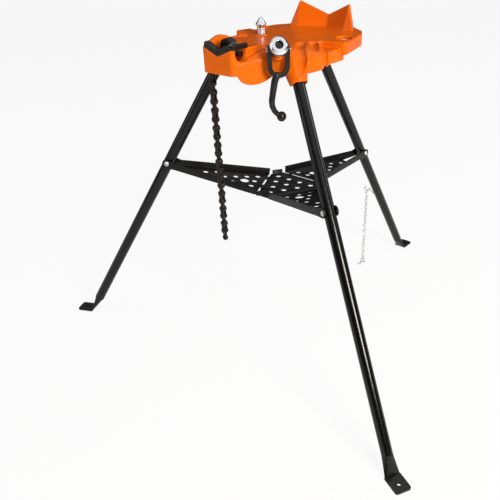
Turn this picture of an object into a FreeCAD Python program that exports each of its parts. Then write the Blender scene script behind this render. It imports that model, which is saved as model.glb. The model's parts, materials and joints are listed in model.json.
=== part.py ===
import FreeCAD, Part
import math
import os

# Tripod chain vise stand: a cast base on three folding tube legs, with a folding tray
# between them.  Millimetres, +Z up, floor at z = 0, the pipe in the vise runs along Y
# and the jaw end looks towards -Y.

V = FreeCAD.Vector
UP = V(0, 0, 1)
HAIR = 0.01                      # keeps two round faces from lying in one another

# ---- legs ------------------------------------------------------------------------------
TUBE_R = 12.7                    # 1 inch tube
TUBE_WALL = 2.1
LEG_LENGTH = 878.2               # hinge pin to the bend above the foot
LEG_TOP = 8.0                    # tube above the hinge pin
FRONT_SPLAY = 32.9               # degrees from vertical, standing
REAR_SPLAY = 34.49
FRONT_FOLDED = 5.0               # degrees from vertical, folded
REAR_FOLDED = 2.5
FRONT_HINGE_X = 97.6
FRONT_HINGE_Y = -65.1
REAR_HINGE_Y = 145.9
FRONT_HEADING = -26.2            # degrees from +X, right front leg
REAR_HEADING = 90.0
FOOT_W = 38.0
FOOT_L = 42.0
FOOT_T = 5.2
FOOT_CORNER_R = 6.0
FOOT_HOLE_R = 4.5
FOOT_HOLE_IN = 20.0              # hole from the foot's outer edge
FLATTEN_L = 48.0                 # round tube to flat foot
FLATTEN_IN = 6.0                 # flattened stretch let into the round tube
FLATTEN_STEP = 0.2
FLATTEN_DIP = 0.8                # flattened faster than a straight taper
LEG_PIN_R = 5.0
PIN_FIT = 0.06                   # radial, pin in a turning part
LEG_SIDE_CLEAR = 0.4             # tube to the cheeks of its slot
TRAY_PIN_FRONT = 308.7           # hinge pin to tray pin, down the leg
TRAY_PIN_REAR = 372.0
TRAY_PIN_R = 4.0

# ---- tray ------------------------------------------------------------------------------
TRAY_Z = 430.0                   # top of the centre sheet
SHEET_T = 2.0
TRAY_HINGE_DROP = 6.0            # hinge axis below the top of the sheet
TRAY_HINGE_GAP = 3.0             # sheet edge to hinge line
FRONT_HINGE_IN = 67.5            # leg hinge to tray hinge, in plan
REAR_HINGE_IN = 62.9
HINGE_TO_FRONT = 41.0            # front tray hinge, each side of its leg's plane
HINGE_TO_REAR = 96.0
REAR_HINGE_HALF = 59.0
ARM_RISE = 9.0                   # tray pin above the top of the wing sheet
ARM_T = 3.0
ARM_CLEAR = 0.7                  # arm to leg tube
ARM_EYE_R = 11.0
ARM_STRAIGHT = 25.0
ARM_LAP = 2.0                    # straight arm let into the slanted rim
NOTCH_DEPTH = 78.0               # open notch for the leg, from the tray pin
NOTCH_HALF = 13.6
RIM_H = 15.0                     # rim above the sheet
RIM_T = 2.5
LIP_H = 10.0
LIP_END = 3.0                    # lip stops short of the sheet's corners
LUG_R = 4.6
LUG_T = 3.0
LUG_GAP = 0.4
LUG_REACH = 14.0
LUG_INSET = 16.0                 # hinges in from the ends of their line
LUG_BITE = 1.0                   # lug's strap let into the sheet
LUG_STRAP_T = 3.0
LUG_HEEL = 3.6                   # hinge line to the strap's rise
RIVET_R = 2.5
RIVET_HEAD_R = 4.2
RIVET_HEAD_T = 1.6
ARM_RIVET_HEAD_R = 6.5
ARM_RIVET_CROWN_R = 3.9
RIVET_PLAY = 0.2                 # far head to its lug
ARM_RIVET_HEAD_T = 2.5
TRAY_HOLE_R = 6.5
TRAY_HOLE_PITCH = 31.0
TRAY_BIG_HOLE_R = 11.0
BIG_HOLE_OUT = 48.0              # hinge line to the wing's large hole
BIG_HOLE_SHARE = 0.38            # its place across the hinge line
HOLE_ROW = 24.8                  # hinge line to the first row, and from row to row
HOLE_BRIDGE = 5.0                # sheet between the large hole and a small one
CENTRE_ROWS = 4
CENTRE_ROW_Y = 52.0
CENTRE_PITCH = 34.7
HOLE_MARGIN = 9.0
CATCH_L = 44.0
CATCH_W = 7.0
CATCH_H = 6.0
CATCH_IN = 2.0                   # catch's nose in from the hinge line

# ---- cast base: heights from here on are measured from the deck's top -------------------
DECK_OVER_HINGE = 29.04          # deck's top above the front hinge pins
DECK_T = 8.0
RIM_DEPTH = 25.0                 # side rims of the deck
REAR_RIM_DEPTH = 14.0            # rim behind the bending holes
REAR_RIM_FROM = 146.0
WALL_T = 9.0
CORNER_R = 9.0                   # rounded corners of the deck, in plan
BODY_TOP = -12.0                 # shelf beside the bending shoulder
BODY_BOTTOM = -37.0
NECK_TOP = -5.0
HEAD_X = 45.0
HEAD_FRONT = -185.0
HEAD_REAR = -98.0
HEAD_TOP = 6.0
HEAD_BOTTOM = -43.0
HEAD_CORNER_R = 12.0
POCKET_X = 35.0
POCKET_FRONT = -168.0
POCKET_REAR = -110.0
POCKET_FLOOR = -25.0
UNDER_X = 23.0                   # hollow under the pocket's floor, to the right
UNDER_LAP = 5.0                  # and longer than the pocket at each end
VEE_HALF = 38.0
VEE_DEPTH = 15.0
ARCH_TOP = 20.0
ARCH_FROM = -173.0
ARCH_SINK = 2.0                  # arch starts below the head's top
ARCH_PEAK = -126.0
ARCH_TO = -88.0
NOTCH_FROM = -178.0              # pocket for the chain in the right wall
NOTCH_TO = -148.0
NOTCH_Z = -17.0
FLANK_STEP = 0.6                 # flank's top below the deck's
FLANK_LAP = 10.0                 # flank let in under the deck
FLANK_ROUND = 0.75               # fall of the rounded shoulder over its width
FLANK_FALL = 26.0                # most that the rounded shoulder falls
FLANK_ANGLES = (0, 22.5, 45, 67.5, 90)
LEG_BOSS_R = 18.5
LEG_BOSS_TOP_R = 27.0
LEG_BOSS_DOWN = 45.0             # boss below the hinge, along the leg
REAR_BOSS_UP = 30.0
FRONT_BOSS_BOTTOM = -70.0        # front bosses end level here
REAR_BOSS_BOTTOM = -97.0
LEG_SLOT_R = 15.7
LEG_SLOT_REACH = 112.0
BENDER_HOLE = (119.0, 80.0)
BENDER_HOLE_R = 16.0
BENDER_HOLE_LONG = 14.0
BENDER_HOLE_TURN = 128.0         # degrees from +X, on the right
BRACE_X = -56.0
BRACE_Y = 11.0
BRACE_R = 9.75
BRACE_RING_R = 13.5
BRACE_RING_H = 2.0
BRACE_BOSS_DEPTH = 32.0
BRACE_TOP = 35.0
BRACE_CONE_R = 12.0
BRACE_CONE_H = 13.0
BRACE_BAND_T = 3.0
BRACE_TIP_R = 3.0
BRACE_TRAVEL = 30.0              # rise of the screw from where it stands
BRACE_BELOW = 15.0               # screw still under its boss at full rise
REST_TIP_X = 69.5
REST_TIP_Y = 166.0
REST_TIP_Z = 52.0
REST_VEE_Y = 184.0
REST_VEE_Z = 25.0
REST_EDGE = 5.0                  # thickness of the rest along its top edge
REST_CHAMFER = 1.5               # corner taken off each tip
REST_FOOT = ((0, 176), (64, 150), (92, 152), (66, 195), (0, 206))
LOBE_CORNER = (156, 35)
LEFT_LOBE_CORNER = (147, 17)     # the left lobe reaches further forward
DECK_HALF = ((40, HEAD_REAR), (58, -92), (67, -72), (76, -50), (84, -26), (91, -4), (97, 14),
             (104, 24), LOBE_CORNER, (124, 141), (104, 172), (50, 214))
NECK_HALF = ((46, HEAD_REAR), (54, -60), (60, -30))
BODY_HALF = ((40, -100), (62, -70), (84, -30), (96, -10), (146, -12), (143, 46), (122, 62),
             (60, 118), (34, 172))
# One row for each rib line of a flank, from the head round to the shelf: deck side X, Y, Z,
# outer wall X, Y and the bottom of the wall.  Only the right flank has the tongue.
TONGUE = ((42, -170, -17, 44.6, -176, -45), (44, -160, -14, 50, -168, -56),
          (46, -146, -10, 56, -156, -61), (48, -130, -6, 64, -138, -62))
SHOULDER = ((52, -112, -2, 77, -119, -54), (58, -92, 0, 88, -104, -45), (67, -72, 0, 118, -88, -45),
            (76, -50, 0, 138, -68, -45), (84, -26, 0, 146, -46, -43),
            (91, -4, 0, 146, -28, -41), (97, 14, 0, 138, -12, -39))
SCOOP_R = 13.0
SCOOP = ((80, -20, 7), (104, -51, 5), (121, -71, -5), (131, -83, -25), (136, -90, -41))
DIMPLE_R = 10.0
DIMPLE = ((90, 8, 4), (130, -32, -2))

# ---- chain vise: heights from the deck's top --------------------------------------------
NUT_X = 103.6                    # trunnions of the handle nut
NUT_Y = -119.6
NUT_Z = 4.8
SCREW_HEADING = -42.0            # degrees from +X
SCREW_RISE = 32.0                # degrees above level
HUB_R = 12.6
HUB_BACK = 8.0                   # hub behind the trunnions
FLANGE_FROM = 9.5
FLANGE_TO = 22.0
FLANGE_R = 18.0
FLANGE_BEVEL = 4.0
WASHER_R = 12.3
WASHER_CLEAR = 0.1               # washer to the nut's hub
WASHER_T = 3.0
WASHER_BORE_FIT = 1.0
SCREW_R = 8.0
SCREW_OUT = 18.5                 # screw end beyond the trunnions
SCREW_IN = 104.0                 # screw eye below the trunnions
SCREW_TIP = 2.0
SCREW_EYE_R = 9.0
SCREW_EYE_T = 9.0
SCREW_NECK = 4.0
SCREW_NECK_HALF = 7.2
SHACKLE_PROUD = 3.0
SCREW_SPACE = 150.0
EYE_SPACE = 6.0                  # casting to the screw's eye
TRUNNION_R = 4.5
TRUNNION_PROUD = 0.8
FORK_OUT = 22.2                  # half width over the fork
FORK_IN = 13.0
FORK_SLOT = 43.0                 # trunnions to the slot's end
FORK_T = 10.0
FORK_EYE_R = 8.6
SHANK_R = 7.4
SHANK_END_R = 5.2
SHANK = ((-4.5, 48.0), (-8.5, 58.0), (-11.5, 74.0), (-15.5, 96.0), (-14.8, 106.0), (-11.0, 115.5),
         (-4.5, 122.5))          # sideways and down from the trunnions
BALL_AT = (3.7, 127.8)
BALL_R = 10.0
SCREW_BOSS_R = 15.2
SCREW_BOSS_ROOT_R = 26.0
SCREW_BOSS_ROOT = 42.0           # trunnions to the boss's wide root
SCREW_BOSS_IN = 62.0
SCREW_BOSS_PLAIN = 12.0          # straight stretch behind its face
JAW_T = 11.0
JAW_W = 15.0
JAW_SETBACK = 1.0
JAW_LIFT = 0.2
JAW_GAP = 0.15
JAW_TEETH = 6
TOOTH_DEPTH = 2.0
HORN_T = 18.0
HORN_Y = -150.0
HORN_TOP = 21.0
HORN_X = 1.0
HORN_R = 17.0
HORN_HOLE_R = 8.0
HORN_DOWN = 6.0
HORN_FOOT = 8.0
HORN_LAP = 3.0
BAR_W = 8.0
BAR_H = 9.0
BAR_X = 41.7
BAR_LAP = 5.0                    # bar beyond each side of the notch

# ---- chains ----------------------------------------------------------------------------
CHAIN_X = -55.0
CHAIN_Y = -150.0
CHAIN_TOP = -53.0
CHAIN_PITCH = 19.05
CHAIN_RUNS = {"upper": 7, "middle": 7, "lower": 6}    # links of each stiff run
CHAIN_PLATE_T = 2.6
CHAIN_PLATE_H = 15.0
CHAIN_GAP = 0.3
CHAIN_PLATE_PLAY = 0.4           # plate's half height short of the nominal
CHAIN_WAIST = 4.4                # half width of a plate between its pins
CHAIN_PIN_PROUD = 1.2
CHAIN_PIN_R = 3.2
RETAINER_SLACK = 0.4             # end play of one link in the next
RETAINER_HOOK_CLEAR = 0.2        # hook's wire to the link that hangs on it
RETAINER_IN = 59.48              # leg's hole to the retaining chain, towards the middle
RETAINER_RISE = 20.52            # top of the chain above the leg's hole
RETAINER_LINK_L = 13.0
RETAINER_LINK_W = 9.6
RETAINER_WIRE_R = 1.1
RETAINER_LINKS = 23
HOOK_WIRE_R = 1.7
HOOK_HOLE_FIT = 1.2
HOOK_R = 7.0
HOOK_OUT = 4.0                   # end of the top hook beyond the rear leg
TOP_BOW = (40, -220, 9)          # from and to angle of a hook's bow, and its steps
S_UPPER_BOW = (150, -40, 7)
S_LOWER_BOW = (60, -150, 7)
S_HOOK_STEP = (13.0, 9.8)        # upper bow's centre to the lower one's, sideways and down
LEG_HOLE_DOWN = 552.0            # hinge pin to the hook's hole, down the rear leg


def sin(deg):
    """Sine of an angle in degrees."""
    return math.sin(math.radians(deg))


def cos(deg):
    """Cosine of an angle in degrees."""
    return math.cos(math.radians(deg))


# ---- derived places --------------------------------------------------------------------
FRONT_HINGE_Z = FOOT_T / 2 + LEG_LENGTH * cos(FRONT_SPLAY)
DECK_Z = FRONT_HINGE_Z + DECK_OVER_HINGE
REAR_HINGE_Z = FOOT_T / 2 + LEG_LENGTH * cos(REAR_SPLAY)
TRAY_HINGE_Z = TRAY_Z - TRAY_HINGE_DROP
ARM_W = TRAY_HINGE_DROP + ARM_RISE          # tray pin above the wing's hinge axis
ARM_IN = TUBE_R + ARM_CLEAR
ARM_OUT = ARM_IN + ARM_T
SCREW_DIR = V(cos(SCREW_RISE) * cos(SCREW_HEADING), cos(SCREW_RISE) * sin(SCREW_HEADING), sin(SCREW_RISE))
TRUNNION_DIR = V(-sin(SCREW_HEADING), cos(SCREW_HEADING), 0)
NUT = V(NUT_X, NUT_Y, NUT_Z)
BRACE_BOTTOM = BRACE_RING_H - BRACE_BOSS_DEPTH - BRACE_TRAVEL - BRACE_BELOW
FOOT_REACH = FOOT_L + FOOT_T / 2
RETAINER_STEP = RETAINER_LINK_L - 2 * RETAINER_WIRE_R - RETAINER_SLACK
REAR_AXIS = V(0, sin(REAR_SPLAY), -cos(REAR_SPLAY))
LEG_HOLE = V(0, REAR_HINGE_Y, REAR_HINGE_Z) + REAR_AXIS * LEG_HOLE_DOWN
RETAINER = LEG_HOLE + V(0, -RETAINER_IN, RETAINER_RISE)
HOOK_DROP = RETAINER_WIRE_R - RETAINER_SLACK / 2 + RETAINER_HOOK_CLEAR + HOOK_WIRE_R
RETAINER_PIVOT = RETAINER - UP * HOOK_DROP


class Site:
    """One leg's place: hinge point, heading in plan, angles, and its share of the tray."""

    def __init__(self, name, x, y, z, heading, splay, folded, tray_pin, hinge_in, sides):
        self.name = name
        self.hinge = V(x, y, z)
        self.heading = heading
        self.splay = splay
        self.folded = folded
        self.tray_pin = tray_pin
        self.hinge_in = hinge_in
        self.sides = sides               # tray hinge from .. to, along the side direction

    def out(self):
        """Direction from the hinge towards the foot, in plan."""
        return V(cos(self.heading), sin(self.heading), 0)

    def side(self):
        """Direction of the hinge pin."""
        return V(-sin(self.heading), cos(self.heading), 0)

    def place(self, shape, origin=None):
        """Turns a shape modelled with X outwards and Y sideways to this leg's heading."""
        moved = shape.copy()
        moved.rotate(V(0, 0, 0), UP, self.heading)
        moved.translate(self.hinge if origin is None else origin)
        return moved

    def under_deck(self, shape):
        """Places a shape modelled round the hinge pin, with heights from the deck's top."""
        return self.place(shape, self.hinge - UP * DECK_Z)

    def tray_hinge(self):
        """Middle of the tray hinge line, in the leg's plane."""
        foot = self.hinge - self.out() * self.hinge_in
        return V(foot.x, foot.y, TRAY_HINGE_Z)

    def wing_line(self):
        """Length and tilt of the wing sheet from the hinge line to the tray pin."""
        run = self.hinge_in + self.tray_pin * sin(self.splay)
        rise = self.hinge.z - self.tray_pin * cos(self.splay) - TRAY_HINGE_Z
        span = math.hypot(run, rise)
        tilt = math.degrees(math.atan2(rise, run) - math.asin(ARM_W / span))
        return math.sqrt(span ** 2 - ARM_W ** 2), tilt


RIGHT = Site("right", FRONT_HINGE_X, FRONT_HINGE_Y, FRONT_HINGE_Z, FRONT_HEADING, FRONT_SPLAY,
             FRONT_FOLDED, TRAY_PIN_FRONT, FRONT_HINGE_IN, (-HINGE_TO_FRONT, HINGE_TO_REAR))
LEFT = Site("left", -FRONT_HINGE_X, FRONT_HINGE_Y, FRONT_HINGE_Z, 180 - FRONT_HEADING, FRONT_SPLAY,
            FRONT_FOLDED, TRAY_PIN_FRONT, FRONT_HINGE_IN, (-HINGE_TO_REAR, HINGE_TO_FRONT))
REAR = Site("rear", 0, REAR_HINGE_Y, REAR_HINGE_Z, REAR_HEADING, REAR_SPLAY,
            REAR_FOLDED, TRAY_PIN_REAR, REAR_HINGE_IN, (-REAR_HINGE_HALF, REAR_HINGE_HALF))
SITES = (LEFT, RIGHT, REAR)
FAR = LEG_LENGTH                 # reach of cutters that pass right through


def foot_extent(site):
    """Furthest point of a foot along Y, with its sign."""
    ankle = site.hinge + site.out() * LEG_LENGTH * sin(site.splay)
    sign = 1 if ankle.y > 0 else -1
    reach = (FOOT_REACH - FOOT_CORNER_R) * abs(site.out().y)
    reach += (FOOT_W / 2 - FOOT_CORNER_R) * abs(site.side().y) + FOOT_CORNER_R
    return ankle.y + sign * reach


# The origin is on the floor under the middle of the whole stand's box.
SHIFT = V(0, -(foot_extent(RIGHT) + foot_extent(REAR)) / 2, 0)


# ---- helpers ---------------------------------------------------------------------------
def export(shape, node):
    """Writes one node's STEP file in the stand's frame."""
    moved = shape.copy()
    moved.translate(SHIFT)
    moved.exportStep("parts/" + node + ".step")


def lifted(shape):
    """Moves a shape from heights above the deck's top to heights above the floor."""
    moved = shape.copy()
    moved.translate(UP * DECK_Z)
    return moved


def rod(start, end, radius):
    """Cylinder from one point to another."""
    axis = end - start
    return Part.makeCylinder(radius, axis.Length, start, axis)


def taper(start, end, start_r, end_r):
    """Cone from one point to another."""
    axis = end - start
    return Part.makeCone(start_r, end_r, axis.Length, start, axis)


def box(x0, x1, y0, y1, z0, z1):
    """Block between two limits along each axis."""
    return Part.makeBox(x1 - x0, y1 - y0, z1 - z0, V(x0, y0, z0))


def prism(points, direction):
    """Extrudes the closed outline through 3-D points along a vector."""
    wire = Part.makePolygon(list(points) + [points[0]])
    return Part.Face(wire).extrude(direction)


def slab(outline, z0, z1):
    """Extrudes a plan outline from z0 to z1."""
    return prism([V(x, y, z0) for x, y in outline], UP * (z1 - z0))


def both_sides(half):
    """Closes a right-hand outline with its mirror image."""
    return list(half) + [(-x, y) for x, y in reversed(half)]


def mirrored(shape):
    """Mirror image on the other side of the middle plane."""
    return shape.mirror(V(0, 0, 0), V(1, 0, 0))


def union(shapes):
    """Joins shapes into one and merges their level faces."""
    return shapes[0].multiFuse(shapes[1:]).removeSplitter()


def facets(points, faces):
    """Solid bounded by flat facets, given as rows of corner numbers."""
    sides = [Part.Face(Part.makePolygon([points[i] for i in face] + [points[face[0]]])) for face in faces]
    return Part.makeSolid(Part.makeShell(sides))


# ---- legs ------------------------------------------------------------------------------
def ellipse_wire(centre, axis, half_w, half_t):
    """Oval section across the leg, wide along Y."""
    curve = Part.Ellipse(V(0, 0, 0), half_w, half_t)
    edge = curve.toShape()
    wire = Part.Wire(edge)
    side = V(0, 1, 0)
    normal = axis.cross(side)
    turn = FreeCAD.Matrix(side.x, normal.x, axis.x, centre.x,
                          side.y, normal.y, axis.y, centre.y,
                          side.z, normal.z, axis.z, centre.z,
                          0, 0, 0, 1)
    return wire.transformGeometry(turn)


def foot_pad(ankle):
    """Flat foot, with its hole, from the bend outwards."""
    r = FOOT_CORNER_R
    half = FOOT_W / 2
    pad = box(ankle.x, ankle.x + FOOT_REACH, -half, half, ankle.z - FOOT_T / 2, ankle.z + FOOT_T / 2)
    corners = [e for e in pad.Edges if abs(e.CenterOfMass.x - ankle.x - FOOT_REACH) < HAIR
               and abs(e.CenterOfMass.z - ankle.z) < HAIR]
    pad = pad.makeFillet(r, corners)
    hole = Part.makeCylinder(FOOT_HOLE_R, 2 * FOOT_T, ankle + V(FOOT_REACH - FOOT_HOLE_IN, 0, -FOOT_T))
    bend = rod(ankle + V(0, -half, 0), ankle + V(0, half, 0), FOOT_T / 2)
    return union([pad, bend]).cut(hole)


def make_leg(site):
    """Tube leg in its own frame: hinge pin at the origin, X outwards."""
    axis = V(sin(site.splay), 0, -cos(site.splay))
    ankle = axis * LEG_LENGTH
    round_end = LEG_LENGTH - FLATTEN_L
    tube = rod(axis * -LEG_TOP, axis * round_end, TUBE_R)
    bore = rod(axis * (-LEG_TOP - 1), axis * (round_end - TUBE_R), TUBE_R - TUBE_WALL)
    middle_w = (TUBE_R + FOOT_W / 2) / 2
    middle_t = (TUBE_R + FOOT_T / 2) / 2 - FLATTEN_DIP
    let_in = axis * (round_end - FLATTEN_IN)
    start = ellipse_wire(let_in, axis, TUBE_R - FLATTEN_STEP, TUBE_R - 2 * FLATTEN_STEP)
    middle = ellipse_wire(axis * (round_end + FLATTEN_L / 2), axis, middle_w, middle_t)
    end = ellipse_wire(ankle, axis, FOOT_W / 2 - FLATTEN_STEP, FOOT_T / 2 - FLATTEN_STEP)
    flat = Part.makeLoft([start, middle, end], True, False)
    leg = tube.cut(bore).fuse(flat).fuse(foot_pad(ankle))
    for down, radius in ((0, LEG_PIN_R), (site.tray_pin, TRAY_PIN_R)):
        centre = axis * down
        leg = leg.cut(rod(centre + V(0, -TUBE_R * 2, 0), centre + V(0, TUBE_R * 2, 0), radius + PIN_FIT))
    if site is REAR:
        centre = axis * LEG_HOLE_DOWN
        across = V(cos(site.splay), 0, sin(site.splay)) * 2 * TUBE_R
        leg = leg.cut(rod(centre - across, centre + across, HOOK_WIRE_R + HOOK_HOLE_FIT))
    return leg


def make_leg_pin(site):
    """Pin that the leg turns on, across its boss."""
    half = LEG_BOSS_R - 1
    return site.place(rod(V(0, -half, 0), V(0, half, 0), LEG_PIN_R))


def make_tray_pin(site):
    """Cross pin through the leg, flush with the tube."""
    centre = V(sin(site.splay), 0, -cos(site.splay)) * site.tray_pin
    half = TUBE_R + 0.2
    return site.place(rod(centre - V(0, half, 0), centre + V(0, half, 0), TRAY_PIN_R))


# ---- cast base -------------------------------------------------------------------------
def leg_boss(site):
    """Boss round a leg, wide under the deck and narrow at the boss's face."""
    axis = V(sin(site.splay), 0, -cos(site.splay))
    boss = rod(V(0, 0, 0), axis * LEG_BOSS_DOWN, LEG_BOSS_R)
    if site is REAR:
        boss = boss.fuse(rod(-axis * REAR_BOSS_UP, axis * LEG_BOSS_DOWN, LEG_BOSS_R))
    else:
        boss = boss.fuse(taper(V(0, 0, 0), axis * LEG_BOSS_DOWN, LEG_BOSS_TOP_R, LEG_BOSS_R + HAIR))
    low = REAR_BOSS_BOTTOM if site is REAR else FRONT_BOSS_BOTTOM
    limit = box(-FAR, FAR, -FAR, FAR, low, -DECK_T / 2)
    return site.under_deck(boss).common(limit)


def leg_slot(site):
    """Space that the leg needs from standing to folded, and the bore for its pin."""
    standing = V(sin(site.splay), 0, -cos(site.splay))
    folded = V(sin(site.folded), 0, -cos(site.folded))
    half = TUBE_R + LEG_SIDE_CLEAR
    outer = V(cos(site.splay), 0, sin(site.splay)) * half
    inner = V(cos(site.folded), 0, sin(site.folded)) * -half
    side = V(0, -half, 0)
    wedge = prism([side + outer, side + outer + standing * LEG_SLOT_REACH,
                   side + inner + folded * LEG_SLOT_REACH, side + inner], side * -2)
    pocket = rod(side, -side, LEG_SLOT_R)
    reach = V(0, LEG_BOSS_R, 0)
    return site.under_deck(union([wedge, pocket])), site.under_deck(rod(-reach, reach, LEG_PIN_R))


def make_rest():
    """Vee pipe rest at the rear: two ears whose front faces slope back to the crease."""
    lower = [V(x, y, -DECK_T / 2) for x, y in REST_FOOT]
    upper = [V(0, REST_VEE_Y, REST_VEE_Z), V(REST_TIP_X - REST_CHAMFER, REST_TIP_Y, REST_TIP_Z),
             V(REST_TIP_X, REST_TIP_Y - REST_CHAMFER, REST_TIP_Z),
             V(REST_TIP_X, REST_TIP_Y + REST_EDGE, REST_TIP_Z), V(0, REST_VEE_Y + REST_EDGE, REST_VEE_Z)]
    points = lower + upper
    count = len(lower)
    faces = [(0, 2, 1), (0, 3, 2), (0, 4, 3), (5, 6, 8), (5, 8, 9), (6, 7, 8)]
    for i in range(count - 1):
        faces += [(i, i + 1, i + 1 + count), (i, i + 1 + count, i + count)]
    faces += [(4, 0, 5), (4, 5, 9)]
    ear = facets(points, faces)
    if ear.Volume < 0:
        ear.reverse()
    return union([ear, mirrored(ear)])


def flank_profile(row):
    """Upright section of the flank: level under the deck, rounded over, then down the wall."""
    x, y, z, wall_x, wall_y, bottom = row
    edge = V(x, y, z - FLANK_STEP)
    outward = V(wall_x - x, wall_y - y, 0)
    fall = min(FLANK_ROUND * outward.Length, FLANK_FALL)
    inner = edge - outward.normalize() * FLANK_LAP
    width = math.hypot(wall_x - x, wall_y - y)
    round_over = [edge + outward * width * sin(a) - UP * fall * (1 - cos(a)) for a in FLANK_ANGLES]
    curve = Part.BSplineCurve()
    curve.interpolate(round_over)
    straight = [round_over[-1], V(wall_x, wall_y, bottom), V(inner.x, inner.y, bottom), inner, edge]
    return Part.Wire([curve.toShape()] + Part.makePolygon(straight).Edges)


def make_flank(rows):
    """Rounded side of the casting, from the deck's edge down to its lower wall."""
    return Part.makeLoft([flank_profile(row) for row in rows], True, False)


def shoulder_cuts():
    """Bending groove scooped into the shoulder, and the dimple behind it."""
    return [wire_path([V(*point) for point in SCOOP], SCOOP_R), rod(V(*DIMPLE[0]), V(*DIMPLE[1]), DIMPLE_R)]


def make_arch():
    """Raised left wall of the head."""
    x0 = -HEAD_X
    front, back = V(x0, ARCH_FROM, HEAD_TOP - ARCH_SINK), V(x0, ARCH_TO, NECK_TOP)
    arc = Part.Arc(front, V(x0, ARCH_PEAK, ARCH_TOP), back).toShape()
    drop = BODY_TOP - WALL_T
    sides = Part.makePolygon([back, V(x0, ARCH_TO, drop), V(x0, ARCH_FROM, drop), front])
    return Part.Face(Part.Wire([arc] + sides.Edges)).extrude(V(HEAD_X - POCKET_X, 0, 0))


def make_deck():
    """Deck plate with rounded corners and a rim below its edge, lower at the rear."""
    left = [(-x, y) for x, y in reversed(DECK_HALF) if (x, y) != LOBE_CORNER]
    left.insert(len(DECK_HALF) - DECK_HALF.index(LOBE_CORNER) - 1, (-LEFT_LOBE_CORNER[0], LEFT_LOBE_CORNER[1]))
    outline = list(DECK_HALF) + left + [DECK_HALF[0]]
    plan = Part.Face(Part.makePolygon([V(x, y, 0) for x, y in outline]))
    plan = plan.makeOffset2D(-CORNER_R).makeOffset2D(CORNER_R)
    inside_plan = plan.makeOffset2D(-WALL_T)
    deck = plan.extrude(UP * RIM_DEPTH)
    deck = deck.cut(inside_plan.extrude(UP * (RIM_DEPTH - DECK_T)))
    deck = deck.cut(box(-FAR, FAR, REAR_RIM_FROM, FAR, -1, RIM_DEPTH - REAR_RIM_DEPTH))
    deck.translate(UP * -RIM_DEPTH)
    return deck


def make_body():
    """Box under the deck that ties the three leg bosses together, open below."""
    plan = Part.Face(Part.makePolygon([V(x, y, 0) for x, y in both_sides(BODY_HALF) + [BODY_HALF[0]]]))
    body = plan.extrude(UP * (BODY_TOP - BODY_BOTTOM))
    body = body.cut(plan.makeOffset2D(-WALL_T).extrude(UP * (BODY_TOP - WALL_T - BODY_BOTTOM)))
    body.translate(UP * BODY_BOTTOM)
    return body


def make_head():
    """Vise head in front of the neck, with rounded front corners."""
    head = box(-HEAD_X, HEAD_X, HEAD_FRONT, HEAD_REAR + 2, HEAD_BOTTOM, HEAD_TOP)
    corners = [edge for edge in head.Edges
               if edge.BoundBox.ZLength > 1 and edge.BoundBox.YMax < HEAD_FRONT + 1]
    return head.makeFillet(HEAD_CORNER_R, corners)


def make_screw_boss():
    """Boss that the chain screw passes through, wide where it meets the flank."""
    face = -HUB_BACK - WASHER_T
    boss = rod(along_screw(face), along_screw(-SCREW_BOSS_IN), SCREW_BOSS_R)
    root = taper(along_screw(-SCREW_BOSS_ROOT), along_screw(face - SCREW_BOSS_PLAIN),
                 SCREW_BOSS_ROOT_R, SCREW_BOSS_R - HAIR)
    return boss.fuse(root)


def head_cuts():
    """Chain pocket, its hollow below, the vee and the notch in the right wall."""
    pocket = box(-POCKET_X, POCKET_X, POCKET_FRONT, POCKET_REAR, POCKET_FLOOR, ARCH_TOP + 1)
    under = box(-POCKET_X, UNDER_X, POCKET_FRONT - UNDER_LAP, POCKET_REAR + UNDER_LAP,
                HEAD_BOTTOM - RIM_DEPTH, POCKET_FLOOR - WALL_T)
    slope = VEE_DEPTH / VEE_HALF
    top = VEE_HALF + (ARCH_TOP - HEAD_TOP) / slope
    front = HEAD_FRONT - 1
    vee = prism([V(-top, front, ARCH_TOP), V(0, front, HEAD_TOP - VEE_DEPTH), V(top, front, ARCH_TOP)],
                V(0, POCKET_FRONT - front + 1, 0))
    vee = vee.common(box(-VEE_HALF, VEE_HALF, -FAR, FAR, -FAR, FAR))
    middle = (NOTCH_FROM + NOTCH_TO) / 2
    notch_r = (NOTCH_TO - NOTCH_FROM) / 2
    low = NOTCH_Z + notch_r
    near, far = POCKET_X - PIN_FIT, HEAD_X + HEAD_CORNER_R
    notch = rod(V(near, middle, low), V(far, middle, low), notch_r)
    above = box(near, far, NOTCH_FROM, NOTCH_TO, low, ARCH_TOP)
    return [pocket, under, vee, notch, above]


def bender_hole(sign):
    """Long hole through the deck that a bar or a pipe is bent in."""
    x, y = BENDER_HOLE
    half = BENDER_HOLE_LONG / 2
    deep = 2 * RIM_DEPTH
    ends = [Part.makeCylinder(BENDER_HOLE_R, 2 * deep, V(side * half, 0, -deep)) for side in (1, -1)]
    hole = union(ends + [box(-half, half, -BENDER_HOLE_R, BENDER_HOLE_R, -deep, deep)])
    hole.rotate(V(0, 0, 0), UP, BENDER_HOLE_TURN)
    hole.translate(V(x, y, 0))
    return hole if sign > 0 else mirrored(hole)


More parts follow.
